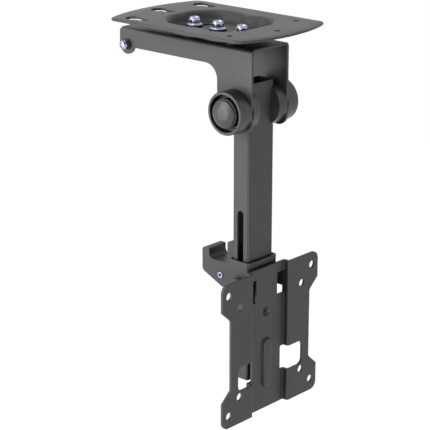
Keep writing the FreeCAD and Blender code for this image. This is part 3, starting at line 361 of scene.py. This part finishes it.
def meshFromRings(name, rings, joinEnds=False):
    # rings are lists of points of one length, each a closed loop
    shape = bmesh.new()
    rows = [[shape.verts.new(point * mm) for point in ring] for ring in rings]
    pairs = list(zip(rows, rows[1:]))
    if joinEnds:
        pairs.append((rows[-1], rows[0]))
    count = len(rows[0])
    for lower, upper in pairs:
        for index in range(count):
            after = (index + 1) % count
            shape.faces.new((lower[index], lower[after], upper[after], upper[index]))
    bmesh.ops.remove_doubles(shape, verts=shape.verts, dist=0.002 * mm)
    bmesh.ops.dissolve_degenerate(shape, edges=shape.edges, dist=0.001 * mm)
    bmesh.ops.recalc_face_normals(shape, faces=shape.faces)
    mesh = bpy.data.meshes.new(name)
    shape.to_mesh(mesh)
    shape.free()
    return mesh


def addPiece(name, mesh, finish, sharpAngle=35):
    mesh.materials.clear()
    mesh.materials.append(made[finish])
    mesh.shade_smooth()
    mesh.set_sharp_from_angle(angle=math.radians(sharpAngle))
    piece = bpy.data.objects.new(name, mesh)
    scene.collection.objects.link(piece)
    return piece


def plainMesh(piece, name):
    # the evaluated shape as a mesh of its own, with the modifiers gone
    shown = piece.evaluated_get(bpy.context.evaluated_depsgraph_get())
    mesh = bpy.data.meshes.new_from_object(shown)
    mesh.name = name
    bpy.data.objects.remove(piece)
    return mesh


# ceiling plate: a pressed sheet with a soft-edged dish, keyholes behind it and screw holes in front
ceilingPlate = {
    "half": 51, "rear": 77.2, "front": 75.5, "rearBow": 10.2, "frontBow": 11, "cornerRound": 7.5, "sheet": 1.9,
    "dishHalf": 31.7, "dishRear": 39.5, "dishFront": 39.7, "dishDepth": 8, "dishSlope": 3.0, "waistIn": 3,
    "waistFront": 7, "waistLong": 20, "rearRound": 26, "frontRound": 19, "shoulderRound": 9, "waistRound": 12,
    "lipRound": 4.6, "footRound": 3.6, "floorSheet": 1.5, "centre": (0, -1.5), "spokes": 360,
    "lipReach": 5, "footReach": 3, "lowLipIn": 1, "lowLipRound": 1.5, "lowFootIn": 1.1, "lowFootRound": 4.2,
    "rimRound": 0.55, "rimStep": 0.16, "flatShares": (0.3, 0.65), "floorShares": (0.35, 0.7, 1.0),
    "keyholes": ((-38, 49), (38, 49), (0, 58.5)), "keyholeLong": 22, "keyholeWide": 6.2, "keyholeHead": 12.5,
    "screwHoles": ((-38.5, -46.5), (38.5, -46.5), (0, -60)), "screwHole": 5, "boltHole": 5.1,
    "slotRadius": 24.6, "slotHalfAngle": 31, "slotWide": 5.6, "punchReach": (-14, 4),
}


def plateOutline(spec):
    # straight sides, bowed ends, rounded corners
    half = spec["half"]

    def bowed(crown, bow, steps=16):
        radius = (half * half + bow * bow) / (2 * bow)
        reach = half - spec["cornerRound"]
        for step in range(steps + 1):
            x = reach - 2 * reach * step / steps
            yield x, crown - radius + math.sqrt(radius * radius - x * x)

    rear = list(bowed(spec["rear"], spec["rearBow"]))
    front = [(-x, -y) for x, y in bowed(spec["front"], spec["frontBow"])]
    corners = [(half, spec["rear"] - spec["rearBow"], spec["cornerRound"])] + rear
    corners += [(-half, spec["rear"] - spec["rearBow"], spec["cornerRound"])]
    corners += [(-half, spec["frontBow"] - spec["front"], spec["cornerRound"])] + front
    corners += [(half, spec["frontBow"] - spec["front"], spec["cornerRound"])]
    return roundedPath(corners)


def dishOutline(spec):
    half, waistY, waistEnd = spec["dishHalf"], -spec["waistFront"], spec["waistLong"] / 2
    right = [(half, -spec["dishFront"], spec["frontRound"]), (half, waistY - waistEnd, spec["shoulderRound"]),
             (half - spec["waistIn"], waistY, spec["waistRound"]), (half, waistY + waistEnd, spec["shoulderRound"]),
             (half, spec["dishRear"], spec["rearRound"])]
    return roundedPath(right + [(-x, y, radius) for x, y, radius in reversed(right)], steps=12)


def spokePoints(path, spec):
    # where each spoke from the centre leaves the closed path
    centre = Vector(spec["centre"])
    found = []
    for spoke in range(spec["spokes"]):
        angle = 2 * math.pi * spoke / spec["spokes"]
        ray = Vector((math.cos(angle), math.sin(angle)))
        best = 0
        for first, second in zip(path, path[1:] + path[:1]):
            side = second - first
            gap = first - centre
            bottom = ray.x * side.y - ray.y * side.x
            if abs(bottom) < 1e-9:
                continue
            along = (gap.x * side.y - gap.y * side.x) / bottom
            share = (gap.x * ray.y - gap.y * ray.x) / bottom
            if -1e-6 <= share <= 1 + 1e-6 and along > best:
                best = along
        found.append(centre + ray * best)
    return found


def movedIn(points, inset):
    # each point moved inwards along the loop's normal
    count = len(points)
    moved = []
    for index, point in enumerate(points):
        tangent = (points[(index + 1) % count] - points[index - 1]).normalized()
        moved.append(point + Vector((-tangent.y, tangent.x)) * inset)
    return moved


def makePlateMesh(spec):
    rim = spokePoints(plateOutline(spec), spec)
    dish = spokePoints(dishOutline(spec), spec)
    centre = Vector(spec["centre"])
    depth, slope, sheet = spec["dishDepth"], spec["dishSlope"], spec["sheet"]
    floorLow = depth + spec["floorSheet"]
    lip, foot = -spec["lipReach"], slope + spec["footReach"]
    topWay = roundedPath([(lip, 0), (0, 0, spec["lipRound"]), (slope, -depth, spec["footRound"]), (foot, -depth)],
                         closed=False)
    lowWay = roundedPath([(lip, -sheet), (-spec["lowLipIn"], -sheet, spec["lowLipRound"]),
                          (slope - spec["lowFootIn"], -floorLow, spec["lowFootRound"]), (foot, -floorLow)],
                         closed=False)

    def rings(way, rimSteps):
        found = []
        for inset, z in rimSteps:
            found.append([point.to_3d() + Vector((0, 0, z)) for point in movedIn(rim, inset)])
        inner = movedIn(rim, rimSteps[-1][0])
        lipLoop = movedIn(dish, way[0].x)
        for share in spec["flatShares"]:
            found.append([a.lerp(b, share).to_3d() + Vector((0, 0, way[0].y)) for a, b in zip(inner, lipLoop)])
        for inset, z in way:
            found.append([point.to_3d() + Vector((0, 0, z)) for point in movedIn(dish, inset)])
        last = movedIn(dish, way[-1].x)
        for share in spec["floorShares"]:
            found.append([a.lerp(centre, share).to_3d() + Vector((0, 0, way[-1].y)) for a in last])
        return found

    edge, step = spec["rimRound"], spec["rimStep"]
    top = rings(topWay, ((0, -edge), (step, -step), (edge, 0)))
    low = rings(lowWay, ((0, edge - sheet), (step, step - sheet), (edge, -sheet)))
    return meshFromRings("ceilingPlate", list(reversed(top)) + low)


def prismMesh(name, outlines, low, high, axis="Z"):
    # outlines lie in the plane across the axis and are drawn out along it
    def placed(point, along):
        first, second = point
        spots = {"X": (along, first, second), "Y": (first, along, second), "Z": (first, second, along)}
        return Vector(spots[axis]) * mm

    shape = bmesh.new()
    for path in outlines:
        lower = [shape.verts.new(placed(point, low)) for point in path]
        upper = [shape.verts.new(placed(point, high)) for point in path]
        shape.faces.new(list(reversed(lower)))
        shape.faces.new(upper)
        for index in range(len(path)):
            after = (index + 1) % len(path)
            shape.faces.new((lower[index], lower[after], upper[after], upper[index]))
    bmesh.ops.recalc_face_normals(shape, faces=shape.faces)
    mesh = bpy.data.meshes.new(name)
    shape.to_mesh(mesh)
    shape.free()
    return mesh


def joinedSolid(name, blankMesh, tools):
    # each tool is (mesh, "DIFFERENCE" or "INTERSECT")
    blank = bpy.data.objects.new(name + "Blank", blankMesh)
    scene.collection.objects.link(blank)
    helpers = []
    for mesh, kind in tools:
        helper = bpy.data.objects.new(name + "Tool", mesh)
        scene.collection.objects.link(helper)
        helpers.append(helper)
        step = blank.modifiers.new("step", "BOOLEAN")
        step.operation = kind
        step.solver = "EXACT"
        step.object = helper
    mesh = plainMesh(blank, name)
    for helper in helpers:
        bpy.data.objects.remove(helper)
    return mesh


def arcPoints(x, y, radius, start, end, steps):
    for step in range(steps + 1):
        angle = math.radians(start + (end - start) * step / steps)
        yield (x + radius * math.cos(angle), y + radius * math.sin(angle))


def circlePoints(x, y, radius):
    # 24 points, 15 degrees apart
    return list(arcPoints(x, y, radius, 0, 345, 23))


def plateHoles(spec):
    outlines = []
    slotHalf, head = spec["keyholeWide"] / 2, spec["keyholeHead"] / 2
    neck = math.degrees(math.asin(slotHalf / head))
    for x, rear in spec["keyholes"]:
        headY = rear + spec["keyholeLong"] / 2 - head
        tailY = rear - spec["keyholeLong"] / 2 + slotHalf
        keyhole = list(arcPoints(x, headY, head, neck - 90, 270 - neck, 28))
        outlines.append(keyhole + list(arcPoints(x, tailY, slotHalf, 180, 360, 14)))
    for x, y in spec["screwHoles"]:
        outlines.append(circlePoints(x, y, spec["screwHole"] / 2))
    outlines.append(circlePoints(0, 0, spec["boltHole"] / 2))
    radius, half, wide = spec["slotRadius"], spec["slotHalfAngle"], spec["slotWide"] / 2
    for middle in (90, 270):
        start, end = middle - half, middle + half
        slot = list(arcPoints(0, 0, radius + wide, start, end, 20))
        x, y = radius * math.cos(math.radians(end)), radius * math.sin(math.radians(end))
        slot += list(arcPoints(x, y, wide, end, end + 180, 10))[1:-1]
        slot += list(arcPoints(0, 0, radius - wide, end, start, 20))
        x, y = radius * math.cos(math.radians(start)), radius * math.sin(math.radians(start))
        slot += list(arcPoints(x, y, wide, start + 180, start + 360, 10))[1:-1]
        outlines.append(slot)
    return outlines


def makeCeilingPlate(spec):
    holes = prismMesh("plateHoles", plateHoles(spec), *spec["punchReach"])
    mesh = joinedSolid("ceilingPlate", makePlateMesh(spec), ((holes, "DIFFERENCE"),))
    piece = addPiece("ceilingPlate", mesh, "powderCoat")
    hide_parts("ceiling_plate")
    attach(piece, "ceiling")


makeCeilingPlate(ceilingPlate)
print("ceiling plate pressed and punched")

# channel arm: a folded U whose cheeks reach down to the hinge and carry the catch bolt in rear ears
channelArm = {
    "hinge": (-37.0, -61.55), "half": 21.5, "sheet": 2, "bend": 3.5, "front": 16.4, "rear": 18.4, "top": 49,
    "sideTall": 16, "below": 16.8, "legRound": 8.5, "innerRound": 12, "catch": (115, 34.95), "earRadius": 7.9,
    "rearRound": 4.5, "hingeHole": 8, "catchHole": 4, "webHole": 5, "webPlaces": (-24.6, 0, 24.6),
    "earNeck": ((-1.2, 0), (0.1, -0.6)), "earStart": 186, "spareLow": 5, "spareEnd": 3, "cutReach": 30,
}


def makeChannelArm(spec):
    y0, z0 = spec["hinge"]
    half, sheet, bend, top = spec["half"], spec["sheet"], spec["bend"], spec["top"]
    low, inner = -spec["below"] - spec["spareLow"], half - sheet
    fold = roundedPath([(-half, low), (-half, top, bend), (half, top, bend), (half, low), (inner, low),
                        (inner, top - sheet, bend - sheet), (-inner, top - sheet, bend - sheet), (-inner, low)])
    fold = [(point.x, point.y + z0) for point in fold]
    catchY, catchZ = spec["catch"]
    ear, bottom = spec["earRadius"], top - spec["sideTall"]
    reach = catchY + ear
    meetAngle = math.degrees(math.asin((catchZ - bottom) / ear))
    meetY = catchY - ear * math.cos(math.radians(meetAngle))
    side = [(-spec["front"], top), (-spec["front"], -spec["below"], spec["legRound"]),
            (spec["rear"], -spec["below"], spec["legRound"]), (spec["rear"], bottom, spec["innerRound"]),
            *((meetY + y, bottom + z) for y, z in spec["earNeck"])]
    side += list(arcPoints(catchY, catchZ, ear, spec["earStart"] + meetAngle, 360, 26))
    side += [(reach, top, spec["rearRound"])]
    side = [(point.x + y0, point.y + z0) for point in roundedPath(side, steps=12)]
    spare, cut = spec["spareEnd"], spec["cutReach"]
    blank = prismMesh("armFold", (fold,), y0 - spec["front"] - spare, y0 + reach + spare, "Y")
    outline = prismMesh("armOutline", (side,), -cut, cut, "X")
    hingeHole = circlePoints(y0, z0, spec["hingeHole"] / 2)
    catchHole = circlePoints(y0 + catchY, z0 + catchZ, spec["catchHole"] / 2)
    sideHoles = prismMesh("armSideHoles", (hingeHole, catchHole), -cut, cut, "X")
    webCircles = [circlePoints(0, y, spec["webHole"] / 2) for y in spec["webPlaces"]]
    webHoles = prismMesh("armWebHoles", webCircles, z0 + top - spec["spareLow"], z0 + top + spare)
    cuts = ((outline, "INTERSECT"), (sideHoles, "DIFFERENCE"), (webHoles, "DIFFERENCE"))
    mesh = joinedSolid("channelArm", blank, cuts)
    piece = addPiece("channelArm", mesh, "powderCoat")
    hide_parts("arm_channel")
    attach(piece, "arm")


makeChannelArm(channelArm)
print("channel arm folded")

# hinge knobs: a hollow housing with a deep ring and a domed cap that stands a little proud
hingeKnob = {
    "axis": (-37.0, -61.55), "cheek": 21.5, "segments": 96,
    # corners of the half section: distance from the cheek, radius, rounding
    "housing": ((0, 14.5), (0, 17), (12.5, 17, 1.3), (12.5, 14.5, 0.5), (5.5, 14.5, 0.5), (5.5, 12.6),
                (6.5, 12.6, 0.3), (6.5, 9.5), (3.5, 9.5), (3.5, 14.5)),
    "cap": ((3.5, 8.1), (3.5, 9.4), (6.6, 9.4), (6.6, 11.7, 0.3), (12.3, 11.7, 0.6), (12.3, 10.9),
            (13.9, 10.9, 1.2), (15.9, 5.6, 12), (15.9, 0), (13.6, 0), (13.6, 8.1)),
}


def turnedMesh(name, section, spec, side):
    # the half section is turned about the hinge's axis
    y0, z0 = spec["axis"]
    path = roundedPath(section, steps=5)
    rings = []
    for along, radius in path:
        x = side * (spec["cheek"] + along)
        ring = []
        for step in range(spec["segments"]):
            angle = 2 * math.pi * step / spec["segments"]
            ring.append(Vector((x, y0 + radius * math.cos(angle), z0 + radius * math.sin(angle))))
        rings.append(ring)
    return meshFromRings(name, rings, joinEnds=True)


for side, word in ((-1, "left"), (1, "right")):
    for part in ("housing", "cap"):
        pieceName = part + word.capitalize()
        turned = addPiece(pieceName, turnedMesh(pieceName, hingeKnob[part], hingeKnob, side), "blackPlastic", 30)
        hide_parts("knob_" + part + "_" + word)
        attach(turned, "arm")
print("hinge knobs turned")

# flange nuts with a crimped collar, one on each swivel bolt
swivelNut = {
    "places": (-24.6, 0, 24.6), "seat": -6.65, "flats": 8.8, "segments": 72, "turnSeed": 4,
    "profile": ((2.5, 0.0), (6.3, 0.0), (6.3, 0.5), (6.05, 0.75), (5.0, 1.35), ("hex", 1.45), ("hex", 3.9),
                ("chamfer", 4.4), (4.15, 4.6), (4.05, 5.3), (3.7, 5.9), (3.3, 6.1), (3.0, 5.95), (2.85, 5.3),
                (2.5, 4.6)),
}


def nutMesh(name, spec):
    # a number is a round stage, "hex" shows the six flats and "chamfer" cuts their corners
    cornerCut = {"hex": 1.12, "chamfer": 1.03}
    rings = []
    hexHalf = spec["flats"] / 2
    for stage, z in spec["profile"]:
        ring = []
        for step in range(spec["segments"]):
            angle = 2 * math.pi * step / spec["segments"]
            flat = (angle + math.pi / 6) % (math.pi / 3) - math.pi / 6
            reach = stage
            if stage in cornerCut:
                reach = min(hexHalf / math.cos(flat), hexHalf * cornerCut[stage])
            ring.append(Vector((reach * math.cos(angle), reach * math.sin(angle), z)))
        rings.append(ring)
    return meshFromRings(name, rings, joinEnds=True)


def makeRepeatTree(name):
    # one piece set on each vertex, each turned by its own share of a turn
    tree = bpy.data.node_groups.new(name, "GeometryNodeTree")
    face = tree.interface
    face.new_socket(name="Geometry", in_out="INPUT", socket_type="NodeSocketGeometry")
    sockets = {}
    for label, kind in (("repeatedPiece", "NodeSocketObject"), ("pieceSize", "NodeSocketFloat"),
                        ("turnSeed", "NodeSocketInt"), ("finish", "NodeSocketMaterial")):
        sockets[label] = face.new_socket(name=label, in_out="INPUT", socket_type=kind).identifier
    face.new_socket(name="Geometry", in_out="OUTPUT", socket_type="NodeSocketGeometry")
    start = tree.nodes.new("NodeGroupInput")
    end = tree.nodes.new("NodeGroupOutput")
    source = tree.nodes.new("GeometryNodeObjectInfo")
    spread = tree.nodes.new("GeometryNodeInstanceOnPoints")
    turn = tree.nodes.new("FunctionNodeRandomValue")
    turn.data_type = "FLOAT_VECTOR"
    turn.inputs["Min"].default_value = (0, 0, 0)
    turn.inputs["Max"].default_value = (0, 0, 2 * math.pi)
    solid = tree.nodes.new("GeometryNodeRealizeInstances")
    dressed = tree.nodes.new("GeometryNodeSetMaterial")
    linkAll(tree, (
        (start.outputs["Geometry"], spread.inputs["Points"]),
        (start.outputs["repeatedPiece"], source.inputs["Object"]),
        (source.outputs["Geometry"], spread.inputs["Instance"]),
        (start.outputs["turnSeed"], turn.inputs["Seed"]),
        (turn.outputs["Value"], spread.inputs["Rotation"]),
        (start.outputs["pieceSize"], spread.inputs["Scale"]),
        (spread.outputs["Instances"], solid.inputs["Geometry"]),
        (solid.outputs["Geometry"], dressed.inputs["Geometry"]),
        (start.outputs["finish"], dressed.inputs["Material"]),
        (dressed.outputs["Geometry"], end.inputs["Geometry"]),
    ))
    return tree, sockets


repeatTree, repeatSockets = makeRepeatTree("repeatOnPoints")


def repeatPiece(name, template, points, finish, seed):
    carrier = bpy.data.objects.new(name + "Carrier", bpy.data.meshes.new(name + "Points"))
    carrier.data.from_pydata([Vector(point) * mm for point in points], [], [])
    scene.collection.objects.link(carrier)
    source = bpy.data.objects.new(name + "Template", template)
    scene.collection.objects.link(source)
    spread = carrier.modifiers.new("spread", "NODES")
    spread.node_group = repeatTree
    spread[repeatSockets["repeatedPiece"]] = source
    spread[repeatSockets["pieceSize"]] = 1.0
    spread[repeatSockets["turnSeed"]] = seed
    spread[repeatSockets["finish"]] = made[finish]
    mesh = plainMesh(carrier, name)
    bpy.data.objects.remove(source)
    return addPiece(name, mesh, finish, 28)


nutPoints = [(0, y, swivelNut["seat"]) for y in swivelNut["places"]]
nutTemplate = nutMesh("swivelNut", swivelNut)
swivelNuts = repeatPiece("swivelNuts", nutTemplate, nutPoints, "brightZinc", swivelNut["turnSeed"])
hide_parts("swivel_nuts")
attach(swivelNuts, "arm")
print("flange nuts set on the swivel bolts")

# lock nut on the end of the catch bolt
catchNut = {
    "seat": (-22.3, 78.0, -26.6), "flats": 7.0, "segments": 72,
    "profile": ((2.0, 0.0), (3.55, 0.0), ("hex", 0.3), ("hex", 3.4), (3.3, 3.75), (3.2, 3.85), (3.15, 4.9),
                (2.9, 5.3), (2.5, 5.4), (2.2, 5.1), (2.0, 4.6)),
}
lockNutMesh = nutMesh("catchNut", catchNut)
lockNutMesh.transform(Matrix.Translation(Vector(catchNut["seat"]) * mm) @ Matrix.Rotation(-math.pi / 2, 4, "Y"))
lockNut = addPiece("catchNut", lockNutMesh, "brightZinc", 28)
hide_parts("catch_bolt_nut")
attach(lockNut, "arm")
print("lock nut set on the catch bolt")

# stiffening rib of the screen plate, pressed forwards in soft flanks over the plain one
screenRib = {
    "half": 5.4, "top": -248.6, "long": 43, "face": -52.2, "sunk": 0.6, "endShare": 0.96,
    "flank": ((0, 0), (0.2, 0.4), (0.5, 1.3), (0.8, 1.9), (1.2, 2.2), (1.9, 2.3)),
}


def makeScreenRib(spec):
    def loop(inset):
        half, top, low = spec["half"] - inset, spec["top"] - inset, spec["top"] - spec["long"] + inset
        rounding = half * spec["endShare"]
        return roundedPath([(-half, low, rounding), (half, low, rounding), (half, top, rounding),
                            (-half, top, rounding)], steps=10)

    # from the middle of the sunk back, round the edge and over the flanks to the middle of the front
    back = [Vector((point.x, spec["face"] + spec["sunk"], point.y)) for point in loop(0)]
    rings = [back]
    for inset, rise in spec["flank"]:
        rings.append([Vector((point.x, spec["face"] - rise, point.y)) for point in loop(inset)])
    middle = spec["top"] - spec["long"] / 2
    for share in (0.5, 1.0):
        rings.insert(0, [point.lerp(Vector((0, point.y, middle)), share) for point in back])
        rings.append([point.lerp(Vector((0, point.y, middle)), share) for point in rings[-1]])
    piece = addPiece("screenRib", meshFromRings("screenRib", rings), "powderCoat", 50)
    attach(piece, "slider")


makeScreenRib(screenRib)
print("screen plate's rib pressed")
